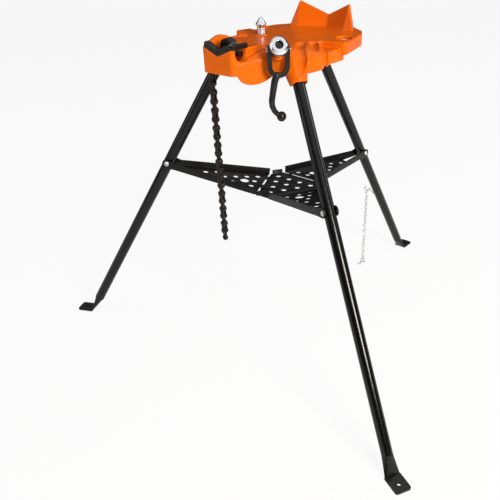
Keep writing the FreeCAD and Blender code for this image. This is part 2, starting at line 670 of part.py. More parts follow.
def make_base():
    """The whole casting: deck, body, flanks, head, screw boss, rest and leg bosses."""
    right = make_flank(TONGUE + SHOULDER)
    left = mirrored(make_flank(SHOULDER))
    neck = slab(both_sides(NECK_HALF), BODY_TOP - WALL_T, NECK_TOP)
    shell = union([make_deck(), make_body(), right, left, neck, make_head(), make_arch(), make_rest()])
    low = BRACE_RING_H - BRACE_BOSS_DEPTH
    ring = Part.makeCylinder(BRACE_RING_R, BRACE_BOSS_DEPTH, V(BRACE_X, BRACE_Y, low))
    shell = union([shell, ring, make_screw_boss()] + [leg_boss(site) for site in SITES])
    cuts = head_cuts() + shoulder_cuts() + [mirrored(cut) for cut in shoulder_cuts()]
    for site in SITES:
        cuts += leg_slot(site)
    brace_long = BRACE_TOP - BRACE_BOTTOM
    cuts.append(Part.makeCylinder(BRACE_R + PIN_FIT, brace_long, V(BRACE_X, BRACE_Y, BRACE_BOTTOM)))
    cuts.append(rod(along_screw(-SCREW_SPACE), NUT, SCREW_R + PIN_FIT))
    eye_room = along_screw(-SCREW_BOSS_IN - EYE_SPACE)
    cuts.append(rod(along_screw(-SCREW_SPACE), eye_room, SCREW_EYE_R + EYE_SPACE))
    cuts += [bender_hole(1), bender_hole(-1)]
    for cut in cuts:
        shell = shell.cut(cut)
    return shell


# ---- tray ------------------------------------------------------------------------------
def hinge_edge(site, gap):
    """Ends of the tray hinge line in plan, moved inwards by gap."""
    middle = site.tray_hinge() - site.out() * gap
    return [middle + site.side() * along for along in site.sides]


def centre_outline():
    """Corners of the centre sheet, from the front right round to the front left."""
    points = []
    for site in (RIGHT, REAR, LEFT):
        points += [(p.x, p.y) for p in hinge_edge(site, TRAY_HINGE_GAP)]
    return points


def lug(sign, along):
    """Hinge lug under a sheet, in the wing frame; sign +1 on the wing, -1 on the centre."""
    eye = rod(V(0, along, 0), V(0, along + LUG_T, 0), LUG_R)
    top = TRAY_HINGE_DROP - SHEET_T
    high = top + LUG_BITE
    strap = prism([V(0, along, -LUG_R), V(sign * LUG_REACH, along, high - LUG_STRAP_T),
                   V(sign * LUG_REACH, along, high), V(sign * LUG_HEEL, along, high),
                   V(0, along, LUG_R - LUG_BITE)], V(0, LUG_T, 0))
    return union([eye, strap])


def lug_places(site):
    """Two hinges on each line, set in from its ends."""
    low, high = site.sides
    return low + LUG_INSET, high - LUG_INSET - 2 * LUG_T


def centre_holes():
    """Lightening holes of the centre sheet, in rows that narrow towards the front."""
    holes = []
    for row in range(CENTRE_ROWS):
        count = CENTRE_ROWS - row
        for i in range(count):
            holes.append(((i - (count - 1) / 2) * CENTRE_PITCH, CENTRE_ROW_Y - row * TRAY_HOLE_PITCH))
    return holes


def make_centre():
    """Three-cornered centre sheet of the tray, with its lips, holes and hinge lugs."""
    outline = centre_outline()
    sheet = slab(outline, TRAY_Z - SHEET_T, TRAY_Z)
    lips = []
    for a, b in ((1, 2), (3, 4), (5, 0)):
        start, end = V(*outline[a], 0), V(*outline[b], 0)
        along = (end - start).normalize()
        inward = V(-along.y, along.x, 0)
        s = start + along * LIP_END
        e = end - along * LIP_END
        lip = [(s.x, s.y), (e.x, e.y), ((e + inward * SHEET_T).x, (e + inward * SHEET_T).y),
               ((s + inward * SHEET_T).x, (s + inward * SHEET_T).y)]
        lips.append(slab(lip, TRAY_Z - SHEET_T, TRAY_Z + LIP_H))
    under = TRAY_Z - 2 * SHEET_T
    cutters = [Part.makeCylinder(TRAY_HOLE_R, 3 * SHEET_T, V(x, y, under)) for x, y in centre_holes()]
    lugs = []
    for site in SITES:
        for along in lug_places(site):
            lugs.append(site.place(lug(-1, along), site.tray_hinge()))
    return union([sheet] + lips).cut(Part.makeCompound(cutters)).fuse(lugs).removeSplitter()


def wing_plan(site):
    """Sheet outline in the wing frame: hinge line at U = 0, tray pin at U = length."""
    length, _ = site.wing_line()
    low, high = site.sides
    tip = length - ARM_STRAIGHT
    return [(TRAY_HINGE_GAP, low), (TRAY_HINGE_GAP, high), (tip, ARM_OUT), (tip, -ARM_OUT)]


def inside(plan, point, margin):
    """True where a point lies inside the convex plan by at least the margin."""
    count = len(plan)
    for i in range(count):
        a, b = plan[i], plan[(i + 1) % count]
        edge = (b[0] - a[0], b[1] - a[1])
        gap = (edge[1] * (point[0] - a[0]) - edge[0] * (point[1] - a[1])) / math.hypot(*edge)
        if gap < margin:
            return False
    return True


def wing_holes(site):
    """Rows of holes across the wing, as many as its sheet holds, and one large hole."""
    plan = wing_plan(site)
    length, _ = site.wing_line()
    low, high = site.sides
    big = (BIG_HOLE_OUT, (low + high) * BIG_HOLE_SHARE)
    holes = [(big[0], big[1], TRAY_BIG_HOLE_R)]
    rows = int((length - NOTCH_DEPTH - HOLE_MARGIN) / HOLE_ROW)
    columns = int((high - low) / TRAY_HOLE_PITCH)
    for row in range(rows):
        u = (row + 1) * HOLE_ROW
        shift = (row % 2) * TRAY_HOLE_PITCH / 2
        for i in range(-columns, columns + 1):
            v = i * TRAY_HOLE_PITCH + shift
            clear = math.hypot(u - big[0], v - big[1]) > TRAY_BIG_HOLE_R + TRAY_HOLE_R + HOLE_BRIDGE
            if clear and inside(plan, (u, v), TRAY_HOLE_R + HOLE_MARGIN):
                holes.append((u, v, TRAY_HOLE_R))
    return holes


def rim(start, end, outward):
    """Upright rim along one edge of the sheet; outward is +1 or -1 along V."""
    low = TRAY_HINGE_DROP - SHEET_T
    direction = (V(*end, 0) - V(*start, 0)).normalize()
    normal = V(-direction.y, direction.x, 0) * (-outward if direction.x > 0 else outward)
    back = normal * RIM_T
    points = [V(*start, low), V(*end, low), V(*end, low) + back, V(*start, low) + back]
    return prism(points, UP * (RIM_H + SHEET_T))


def make_wing(site):
    """Wing of the tray in its own frame: U outwards from the hinge, W up, level."""
    length, _ = site.wing_line()
    low = TRAY_HINGE_DROP - SHEET_T
    plan = wing_plan(site)
    sheet = slab(plan, low, TRAY_HINGE_DROP)
    cutters = [Part.makeCylinder(r, 4 * SHEET_T, V(u, v, low - SHEET_T)) for u, v, r in wing_holes(site)]
    apex = length - NOTCH_DEPTH + NOTCH_HALF
    cutters.append(Part.makeCylinder(NOTCH_HALF, 4 * SHEET_T, V(apex, 0, low - SHEET_T)))
    cutters.append(box(apex, length, -NOTCH_HALF, NOTCH_HALF, low - SHEET_T, low + 3 * SHEET_T))
    sheet = sheet.cut(Part.makeCompound(cutters))
    rims = [rim(plan[1], plan[2], 1), rim(plan[0], plan[3], -1)]
    arms = []
    for sign in (1, -1):
        inner = sign * ARM_IN
        outer = sign * ARM_OUT
        eye = rod(V(length, inner, ARM_W), V(length, outer, ARM_W), ARM_EYE_R)
        root = length - ARM_STRAIGHT - ARM_LAP
        bar = prism([V(root, inner, low), V(length, inner, ARM_W - ARM_EYE_R),
                     V(length, inner, ARM_W + ARM_EYE_R), V(root, inner, TRAY_HINGE_DROP + RIM_H)],
                    V(0, outer - inner, 0))
        arms.append(union([eye, bar]))
    wing = union([sheet] + rims + arms)
    hole = rod(V(length, -2 * ARM_OUT, ARM_W), V(length, 2 * ARM_OUT, ARM_W), TRAY_PIN_R)
    wing = wing.cut(hole)
    lugs = [lug(1, along + LUG_T + LUG_GAP) for along in lug_places(site)]
    bore = rod(V(0, 2 * site.sides[0], 0), V(0, 2 * site.sides[1], 0), RIVET_R + PIN_FIT)
    return union([wing] + lugs).cut(bore)


def place_wing(site, shape):
    """Tilts a wing-frame shape and sets it on the tray's hinge line."""
    _, tilt = site.wing_line()
    turned = shape.copy()
    turned.rotate(V(0, 0, 0), V(0, 1, 0), -tilt)
    return site.place(turned, site.tray_hinge())


def make_arm_rivets(site):
    """Rivet heads on the two arms, with their shanks through the arms."""
    length, _ = site.wing_line()
    heads = []
    for sign in (1, -1):
        shank = rod(V(length, sign * ARM_IN, ARM_W), V(length, sign * ARM_OUT, ARM_W), TRAY_PIN_R)
        head = taper(V(length, sign * ARM_OUT, ARM_W), V(length, sign * (ARM_OUT + ARM_RIVET_HEAD_T), ARM_W),
                     ARM_RIVET_HEAD_R, ARM_RIVET_CROWN_R)
        heads.append(union([shank, head]))
    return Part.makeCompound(heads)


def make_hinge_rivets():
    """Rivets of the six tray hinges, fast in the centre's lugs."""
    rivets = []
    for site in SITES:
        for along in lug_places(site):
            far = along + 2 * LUG_T + LUG_GAP + RIVET_PLAY
            shank = rod(V(0, along, 0), V(0, far, 0), RIVET_R)
            near_head = rod(V(0, along - RIVET_HEAD_T, 0), V(0, along, 0), RIVET_HEAD_R)
            far_head = rod(V(0, far, 0), V(0, far + RIVET_HEAD_T, 0), RIVET_HEAD_R)
            rivets.append(site.place(union([shank, near_head, far_head]), site.tray_hinge()))
    return Part.makeCompound(rivets)


def make_catch():
    """Spring catch on the centre sheet, at the left hinge line."""
    middle = LEFT.tray_hinge() - LEFT.out() * (CATCH_L / 2 + CATCH_IN)
    leaf = box(-CATCH_L / 2, CATCH_L / 2, -CATCH_W / 2, CATCH_W / 2, 0, SHEET_T)
    nose = box(CATCH_L / 2 - CATCH_W, CATCH_L / 2, -CATCH_W, CATCH_W, 0, CATCH_H)
    catch = LEFT.place(union([leaf, nose]), V(0, 0, 0))
    catch.translate(V(middle.x, middle.y, TRAY_Z))
    return catch


# ---- chain vise ------------------------------------------------------------------------
def along_screw(distance):
    """Point on the chain screw's axis, measured up from the trunnions."""
    return NUT + SCREW_DIR * distance


def make_nut():
    """Flanged nut: a bevelled flange, a hub behind it and two trunnions on the hub."""
    hub = rod(along_screw(-HUB_BACK), along_screw(FLANGE_FROM), HUB_R)
    flange = rod(along_screw(FLANGE_FROM), along_screw(FLANGE_TO - FLANGE_BEVEL), FLANGE_R)
    shoulder = FLANGE_TO - FLANGE_BEVEL
    bevel = taper(along_screw(shoulder), along_screw(FLANGE_TO), FLANGE_R, FLANGE_R - FLANGE_BEVEL)
    reach = TRUNNION_DIR * (FORK_OUT + TRUNNION_PROUD)
    nut = union([hub, flange, bevel, rod(NUT - reach, NUT + reach, TRUNNION_R)])
    return nut.cut(rod(along_screw(-SCREW_SPACE), along_screw(SCREW_SPACE), SCREW_R + PIN_FIT))


def stadium(half, centre_at, depth_from):
    """Fork-plane outline, in (along the fork, sideways), as a face in the XY plane."""
    arc = Part.Arc(V(centre_at, half, 0), V(centre_at + half, 0, 0), V(centre_at, -half, 0)).toShape()
    sides = Part.makePolygon([V(centre_at, -half, 0), V(depth_from, -half, 0), V(depth_from, half, 0),
                              V(centre_at, half, 0)])
    return Part.Face(Part.Wire([arc] + sides.Edges))


def in_fork_plane(sideways, down):
    """Point of the hanging handle's plane, measured from the trunnions."""
    return NUT + TRUNNION_DIR * sideways - UP * down


def make_handle():
    """Forked handle: two arms beside the nut's hub, a bent shank and a ball."""
    centre_at = FORK_SLOT - FORK_IN
    fork = stadium(FORK_OUT, centre_at, 0).cut(stadium(FORK_IN, centre_at, -FORK_OUT))
    fork = fork.extrude(V(0, 0, FORK_T))
    fork.translate(V(0, 0, -FORK_T / 2))
    eyes = [rod(V(0, sign * FORK_IN, 0), V(0, sign * FORK_OUT, 0), FORK_EYE_R) for sign in (1, -1)]
    fork = union([fork] + eyes)
    across = (-UP).cross(TRUNNION_DIR)
    turn = FreeCAD.Matrix(0, TRUNNION_DIR.x, across.x, NUT.x, 0, TRUNNION_DIR.y, across.y, NUT.y,
                          -1, 0, 0, NUT.z, 0, 0, 0, 1)
    pieces = [fork.transformGeometry(turn)]
    path = [in_fork_plane(*point) for point in SHANK]
    ball = in_fork_plane(*BALL_AT)
    last = len(path) - 1
    radii = [SHANK_R + (SHANK_END_R - SHANK_R) * i / last for i in range(last + 1)]
    for i in range(last):
        pieces.append(taper(path[i], path[i + 1], radii[i], radii[i + 1] - HAIR))
        pieces.append(Part.makeSphere(radii[i], path[i]))
    pieces += [Part.makeSphere(radii[-1], path[-1]), rod(path[-1], ball, SHANK_END_R - HAIR)]
    pieces.append(Part.makeSphere(BALL_R, ball))
    reach = TRUNNION_DIR * 2 * FORK_OUT
    return union(pieces).cut(rod(NUT - reach, NUT + reach, TRUNNION_R + PIN_FIT))


def make_washer():
    """Plain washer between the nut's hub and the boss."""
    washer = rod(along_screw(-HUB_BACK - WASHER_T), along_screw(-HUB_BACK - WASHER_CLEAR), WASHER_R)
    return washer.cut(rod(along_screw(-SCREW_SPACE), along_screw(SCREW_SPACE), SCREW_R + WASHER_BORE_FIT))


def make_chain_screw():
    """Threaded rod through the nut, flattened to an eye for the chain at its lower end."""
    shank = rod(along_screw(-SCREW_IN + SCREW_EYE_R), along_screw(SCREW_OUT - SCREW_TIP), SCREW_R)
    tip = taper(along_screw(SCREW_OUT - SCREW_TIP), along_screw(SCREW_OUT), SCREW_R, SCREW_R - SCREW_TIP)
    half = TRUNNION_DIR * (SCREW_EYE_T / 2)
    centre = along_screw(-SCREW_IN)
    eye = rod(centre - half, centre + half, SCREW_EYE_R)
    across = SCREW_DIR.cross(TRUNNION_DIR) * SCREW_NECK_HALF
    high = along_screw(-SCREW_IN + SCREW_EYE_R + SCREW_NECK)
    near, far = centre - half, high - half
    neck = prism([near - across, near + across, far + across, far - across], half * 2)
    return union([shank, tip, neck, eye]).cut(rod(centre - half * 3, centre + half * 3, CHAIN_PIN_R))


def make_chain_shackle():
    """Pin that joins the chain to the screw."""
    half = TRUNNION_DIR * (SCREW_EYE_T / 2 + SHACKLE_PROUD)
    return rod(along_screw(-SCREW_IN) - half, along_screw(-SCREW_IN) + half, CHAIN_PIN_R)


def make_jaws():
    """Two hardened toothed plates that line the vee."""
    slope = math.atan2(VEE_DEPTH, VEE_HALF)
    length = VEE_HALF / math.cos(slope) - JAW_SETBACK
    up = V(math.sin(slope), 0, math.cos(slope))
    along = V(-math.cos(slope), 0, math.sin(slope))
    bottom = V(0, HEAD_FRONT + JAW_SETBACK, HEAD_TOP - VEE_DEPTH + JAW_LIFT)
    teeth = [bottom, bottom + along * length, bottom + along * length + up * JAW_T]
    for i in reversed(range(JAW_TEETH)):
        far = length * (i + 0.5) / JAW_TEETH
        near = length * i / JAW_TEETH
        teeth.append(bottom + along * far + up * (JAW_T - TOOTH_DEPTH))
        teeth.append(bottom + along * max(near, JAW_T * math.tan(slope)) + up * JAW_T)
    left = prism(teeth, V(0, JAW_W, 0))
    left = left.common(box(-FAR, -JAW_GAP, -FAR, FAR, -FAR, FAR))
    return left, mirrored(left)


def make_horn():
    """Curved lug over the pocket that the chain is laid round."""
    half = V(0, HORN_T / 2, 0)
    centre = V(HORN_X, HORN_Y, HORN_TOP - HORN_R)
    ring = rod(centre - half, centre + half, HORN_R)
    ring = ring.cut(rod(centre - half * 2, centre + half * 2, HORN_HOLE_R))
    low = centre.z - HORN_DOWN
    ring = ring.common(box(-FAR, FAR, -FAR, FAR, low, FAR))
    near, far = HORN_Y - HORN_T / 2, HORN_Y + HORN_T / 2
    foot = box(-POCKET_X, POCKET_X, near, far, low - HORN_FOOT, low)
    root = box(HORN_X - HORN_R, HORN_X + HORN_R, near, far, low - HORN_LAP, low + HORN_LAP)
    return union([ring, foot, root])


def make_bar():
    """Catch bar that lies on the right wall, across its notch."""
    return box(BAR_X - BAR_W / 2, BAR_X + BAR_W / 2, NOTCH_FROM - BAR_LAP, NOTCH_TO + BAR_LAP,
               HEAD_TOP, HEAD_TOP + BAR_H)


def make_brace_screw():
    """Ceiling brace screw with its pointed cap."""
    shoulder_z = BRACE_TOP - BRACE_CONE_H
    shank = Part.makeCylinder(BRACE_R, shoulder_z - BRACE_BOTTOM, V(BRACE_X, BRACE_Y, BRACE_BOTTOM))
    band = Part.makeCylinder(BRACE_CONE_R, BRACE_BAND_T, V(BRACE_X, BRACE_Y, shoulder_z - BRACE_BAND_T))
    cone = Part.makeCone(BRACE_CONE_R, BRACE_TIP_R, BRACE_CONE_H, V(BRACE_X, BRACE_Y, shoulder_z))
    return union([shank, band, cone])


# ---- chains ----------------------------------------------------------------------------
def chain_plate(top, y):
    """Figure-eight side plate from one pin down to the next."""
    r = CHAIN_PLATE_H / 2 - CHAIN_PLATE_PLAY
    low = top.z - CHAIN_PITCH
    thick = V(0, CHAIN_PLATE_T, 0)
    start = V(top.x, y, top.z)
    end = V(top.x, y, low)
    waist = box(top.x - CHAIN_WAIST, top.x + CHAIN_WAIST, y, y + CHAIN_PLATE_T, low, top.z)
    return union([rod(start, start + thick, r), rod(end, end + thick, r), waist])


def chain_joint(number):
    """Middle of one of the chain's pins, counted from the top."""
    return V(CHAIN_X, CHAIN_Y, CHAIN_TOP - number * CHAIN_PITCH)


def chain_run(first, count):
    """Plates and pins of one run of leaf chain, from link number first."""
    outer, inner, pins = [], [], []
    step = CHAIN_PLATE_T + CHAIN_GAP
    reach = V(0, 2 * step + CHAIN_PIN_PROUD, 0)
    for i in range(first, first + count):
        top = chain_joint(i)
        layers = (-2, 1) if i % 2 == 0 else (-1, 0)
        target = outer if i % 2 == 0 else inner
        for layer in layers:
            target.append(chain_plate(top, CHAIN_Y + layer * step + CHAIN_GAP / 2))
        pins.append(rod(top - reach, top + reach, CHAIN_PIN_R))
    joints = [chain_joint(i) for i in range(first, first + count + 1)]
    bores = [rod(top - reach * 2, top + reach * 2, CHAIN_PIN_R + PIN_FIT) for top in joints]
    cutter = Part.makeCompound(bores)
    return [plate.cut(cutter) for plate in outer], [plate.cut(cutter) for plate in inner], pins


def ring_link(centre, across, half_l, half_w, wire):
    """Oval link of round wire: two half rings joined by straight sides, upright."""
    run = UP * (half_l - half_w)
    bend = half_w - wire
    side = across * bend
    top = Part.Arc(centre + run + side, centre + run + UP * bend, centre + run - side).toShape()
    left = Part.LineSegment(centre + run - side, centre - run - side).toShape()
    low = Part.Arc(centre - run - side, centre - run - UP * bend, centre - run + side).toShape()
    right = Part.LineSegment(centre - run + side, centre + run + side).toShape()
    section = Part.Wire(Part.Circle(centre + run + side, UP, wire).toShape())
    return Part.Wire([top, left, low, right]).makePipeShell([section], True, False)


def make_retainer():
    """Fine chain that hangs from the rear leg, every other link turned square."""
    links = []
    for i in range(RETAINER_LINKS):
        centre = RETAINER - UP * (i + 0.5) * RETAINER_STEP
        across = V(0, 1, 0) if i % 2 == 0 else V(1, 0, 0)
        links.append(ring_link(centre, across, RETAINER_LINK_L / 2, RETAINER_LINK_W / 2, RETAINER_WIRE_R))
    return Part.makeCompound(links)


def wire_path(points, radius):
    """Round wire along straight runs with ball corners."""
    pieces = []
    for i in range(len(points) - 1):
        pieces.append(rod(points[i], points[i + 1], radius))
    for point in points:
        pieces.append(Part.makeSphere(radius, point))
    return union(pieces)


def hook_points(centre, start, end, steps):
    """Points round a circle in the XZ plane, angles in degrees from +X."""
    points = []
    for i in range(steps + 1):
        angle = start + (end - start) * i / steps
        points.append(centre + V(cos(angle), 0, sin(angle)) * HOOK_R)
    return points


def make_top_hook():
    """Hook through the hole in the rear leg, its bow turned square for the chain."""
    across = V(0, cos(REAR.splay), sin(REAR.splay)) * (TUBE_R + HOOK_OUT)
    start, end, steps = TOP_BOW
    centre = RETAINER_PIVOT + UP * HOOK_R * cos((start - end) / steps / 2)
    bow = hook_points(centre, start, end, steps)
    return wire_path([LEG_HOLE + across, LEG_HOLE - across] + bow, HOOK_WIRE_R)


def make_bottom_hook():
    """Loose S-hook at the chain's lower end."""
    top = RETAINER - UP * (RETAINER_LINKS * RETAINER_STEP - HOOK_DROP)
    upper = top - UP * HOOK_R
    lower = upper + V(-S_HOOK_STEP[0], 0, -S_HOOK_STEP[1])
    return wire_path(hook_points(upper, *S_UPPER_BOW) + hook_points(lower, *S_LOWER_BOW), HOOK_WIRE_R)


def stand_nodes():
    """Legs and tray, with heights from the floor."""
    nodes = {"leg_hinge_pins": Part.makeCompound([make_leg_pin(site) for site in SITES])}
    for site in SITES:
        nodes["leg_" + site.name] = site.place(make_leg(site))
        nodes["tray_pin_" + site.name] = make_tray_pin(site)
        nodes["tray_wing_" + site.name] = place_wing(site, make_wing(site))
        nodes["arm_rivets_" + site.name] = place_wing(site, make_arm_rivets(site))
    hinge_rivets = make_hinge_rivets()
    nodes["tray_centre"] = make_centre().cut(hinge_rivets)
    nodes["tray_hinge_rivets"] = hinge_rivets
    nodes["tray_catch"] = make_catch()
    nodes["retainer_chain"] = make_retainer()
    nodes["retainer_hook_top"] = make_top_hook()
    nodes["retainer_hook_bottom"] = make_bottom_hook()
    return nodes


def deck_nodes():
    """Casting, chain vise and brace screw, with heights from the deck's top."""
    jaw_left, jaw_right = make_jaws()
    nodes = {"base_casting": make_base(), "handle_nut": make_nut(), "handle": make_handle(),
             "thrust_washer": make_washer(), "chain_screw": make_chain_screw(),
             "chain_screw_pin": make_chain_shackle(), "jaw_left": jaw_left, "jaw_right": jaw_right,
             "chain_horn": make_horn(), "catch_bar": make_bar(), "brace_screw": make_brace_screw()}
    first = 0
    for name, count in CHAIN_RUNS.items():
        outer, inner, pins = chain_run(first, count)
        nodes["chain_outer_plates_" + name] = Part.makeCompound(outer)
        nodes["chain_inner_plates_" + name] = Part.makeCompound(inner)
        nodes["chain_pins_" + name] = Part.makeCompound(pins)
        first += count
    return nodes


def main():
    """Builds every piece and writes one STEP file per node."""
    os.makedirs("parts", exist_ok=True)
    nodes = stand_nodes()
    nodes.update((node, lifted(shape)) for node, shape in deck_nodes().items())
    for node, shape in nodes.items():
        export(shape, node)
    return nodes


if __name__ == "__main__":
    for node, shape in main().items():
        print(node, len(shape.Solids), "valid" if shape.isValid() else "INVALID", round(shape.Volume))
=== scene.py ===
"""Looks for a tripod pipe vise stand: an enamelled casting on three folding tubular legs,
with a tool tray, a chain vise and a ceiling brace screw."""

import json
import logging
import math
from dataclasses import dataclass
from enum import Enum
from typing import Iterable, Sequence, TypeAlias

import bmesh
import bpy
from mathutils import Matrix, Vector


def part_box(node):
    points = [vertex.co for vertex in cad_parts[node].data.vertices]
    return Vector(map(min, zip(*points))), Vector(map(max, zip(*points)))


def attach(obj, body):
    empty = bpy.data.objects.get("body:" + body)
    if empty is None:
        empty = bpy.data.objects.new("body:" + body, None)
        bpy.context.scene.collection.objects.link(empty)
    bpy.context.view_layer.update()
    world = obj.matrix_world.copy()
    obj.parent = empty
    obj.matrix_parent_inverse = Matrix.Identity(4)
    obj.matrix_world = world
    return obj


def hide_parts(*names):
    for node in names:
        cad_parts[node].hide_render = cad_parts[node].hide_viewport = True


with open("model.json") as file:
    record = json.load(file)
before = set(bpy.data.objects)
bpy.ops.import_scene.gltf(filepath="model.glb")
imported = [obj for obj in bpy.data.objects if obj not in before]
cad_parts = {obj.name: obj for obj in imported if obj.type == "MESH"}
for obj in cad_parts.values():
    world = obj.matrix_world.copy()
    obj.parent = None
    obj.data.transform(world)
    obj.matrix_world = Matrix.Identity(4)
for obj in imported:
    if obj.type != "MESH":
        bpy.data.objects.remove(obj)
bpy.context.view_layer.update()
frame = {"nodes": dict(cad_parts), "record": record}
LOG = logging.getLogger("stand")
MM = 0.001
SEAM = 1e-6
SHARP = math.radians(32)
LEVEL = math.radians(0.5)
WHITE = (1.0, 1.0, 1.0)
UP = Vector((0.0, 0.0, 1.0))
BYTE = 255
TOE, TOE_SLOPE = 0.04045, 12.92    # the display curve's straight start
OFFSET, POWER = 0.055, 2.4         # and the power curve after it
MIX_COLOURS = (6, 7)               # a Mix node's two colour sockets
MIX_COLOUR_OUT = 2

Colour: TypeAlias = tuple[float, float, float]
Place: TypeAlias = tuple[float, float, float]
Span: TypeAlias = tuple[float, float]
Value: TypeAlias = "float | int | Sequence[float] | Wire | bpy.types.NodeSocket"


class Slot(Enum):
    """The record's material slots, by the finish that each names."""

    ENAMEL = "cast_enamel"
    TUBE = "black_tube"
    SHEET = "black_sheet"
    BLACK = "black_steel"
    HARD = "hardened_steel"
    CHROME = "chrome"
    ZINC = "zinc"


def linear(red: int, green: int, blue: int) -> Colour:
    """Turns a display colour into the light it stands for.

    Args:
        red: red from 0 to 255.
        green: green from 0 to 255.
        blue: blue from 0 to 255.

    Returns:
        The three linear values from 0 to 1.
    """
    def one(part: int) -> float:
        """Returns one channel in linear light."""
        share = part / BYTE
        return share / TOE_SLOPE if share <= TOE else ((share + OFFSET) / (1 + OFFSET)) ** POWER

    return one(red), one(green), one(blue)


@dataclass(frozen=True)
class Grain:
    """A noise: its clouds along a metre, the finer layers on them, and how strong those are."""

    per_metre: float
    detail: float = 3.0
    roughness: float = 0.5


class Wire:
    """A shader socket that carries a number, with the sums that can be made of it."""

    def __init__(self, graph: "Graph", socket: bpy.types.NodeSocket) -> None:
        """Keeps the socket and the graph that its sums are added to."""
        self.graph = graph
        self.socket = socket

    def _sum(self, operation: str, left: Value, right: Value = 0.0) -> "Wire":
        """Adds one Math node.

        Args:
            operation: the node's operation.
            left: its first value.
            right: its second value.

        Returns:
            The node's result.
        """
        node = self.graph.node("Math", {"operation": operation}, {0: left, 1: right})
        return Wire(self.graph, node.outputs[0])

    def __add__(self, other: Value) -> "Wire":
        """Adds a number."""
        return self._sum("ADD", self, other)

    def __radd__(self, other: Value) -> "Wire":
        """Adds to a number."""
        return self._sum("ADD", other, self)

    def __sub__(self, other: Value) -> "Wire":
        """Takes a number away."""
        return self._sum("SUBTRACT", self, other)

    def __rsub__(self, other: Value) -> "Wire":
        """Is taken away from a number."""
        return self._sum("SUBTRACT", other, self)

    def __mul__(self, other: Value) -> "Wire":
        """Multiplies by a number."""
        return self._sum("MULTIPLY", self, other)

    def __rmul__(self, other: Value) -> "Wire":
        """Multiplies a number."""
        return self._sum("MULTIPLY", other, self)

    def clamped(self) -> "Wire":
        """Keeps the number between 0 and 1."""
        return self._sum("MINIMUM", self._sum("MAXIMUM", self, 0.0), 1.0)


class Graph:
    """The nodes of one material or of the world."""

    def __init__(self, tree: bpy.types.NodeTree) -> None:
        """Takes an emptied node tree."""
        self.tree = tree
        tree.nodes.clear()

    def node(
        self, kind: str, settings: dict[str, object], sockets: dict[str | int, Value]
    ) -> bpy.types.Node:
        """Adds a node.

        Args:
            kind: the node's type, without the ShaderNode in front.
            settings: what is set on the node itself, with stops for a colour ramp.
            sockets: a value or a link for each input.

        Returns:
            The new node.
        """
        node = self.tree.nodes.new("ShaderNode" + kind)
        for key, value in settings.items():
            if key == "stops":
                self._stops(node.color_ramp.elements, value)
            else:
                setattr(node, key, value)
        for key, value in sockets.items():
            self.feed(node.inputs[key], value)
        return node

    def feed(self, socket: bpy.types.NodeSocket, value: Value) -> None:
        """Links or sets one input.

        Args:
            socket: the input.
            value: a number, a colour, a socket or a wire.
        """
        if isinstance(value, Wire):
            value = value.socket
        if isinstance(value, bpy.types.NodeSocket):
            self.tree.links.new(value, socket)
        elif socket.type == "RGBA":
            socket.default_value = (*value[:3], 1.0)
        else:
            socket.default_value = value

    @staticmethod
    def _stops(elements: bpy.types.ColorRampElements, stops: Iterable[Span]) -> None:
        """Sets a colour ramp's stops.

        Args:
            elements: the stops that the ramp has so far.
            stops: a place and a grey from 0 to 1 for each stop.
        """
        for number, (place, grey) in enumerate(stops):
            stop = elements[number] if number < len(elements) else elements.new(place)
            stop.position = place
            stop.color = (grey, grey, grey, 1.0)

    def rays(self, *kinds: str) -> Wire:
        """Tells some kinds of ray from the rest.

        Args:
            kinds: the kinds' names, such as Camera or Glossy.

        Returns:
            1 for rays of these kinds and 0 for the others.
        """
        path = self.node("LightPath", {}, {}).outputs
        found = Wire(self, path[f"Is {kinds[0]} Ray"])
        for kind in kinds[1:]:
            found = found + path[f"Is {kind} Ray"]
        return found.clamped()


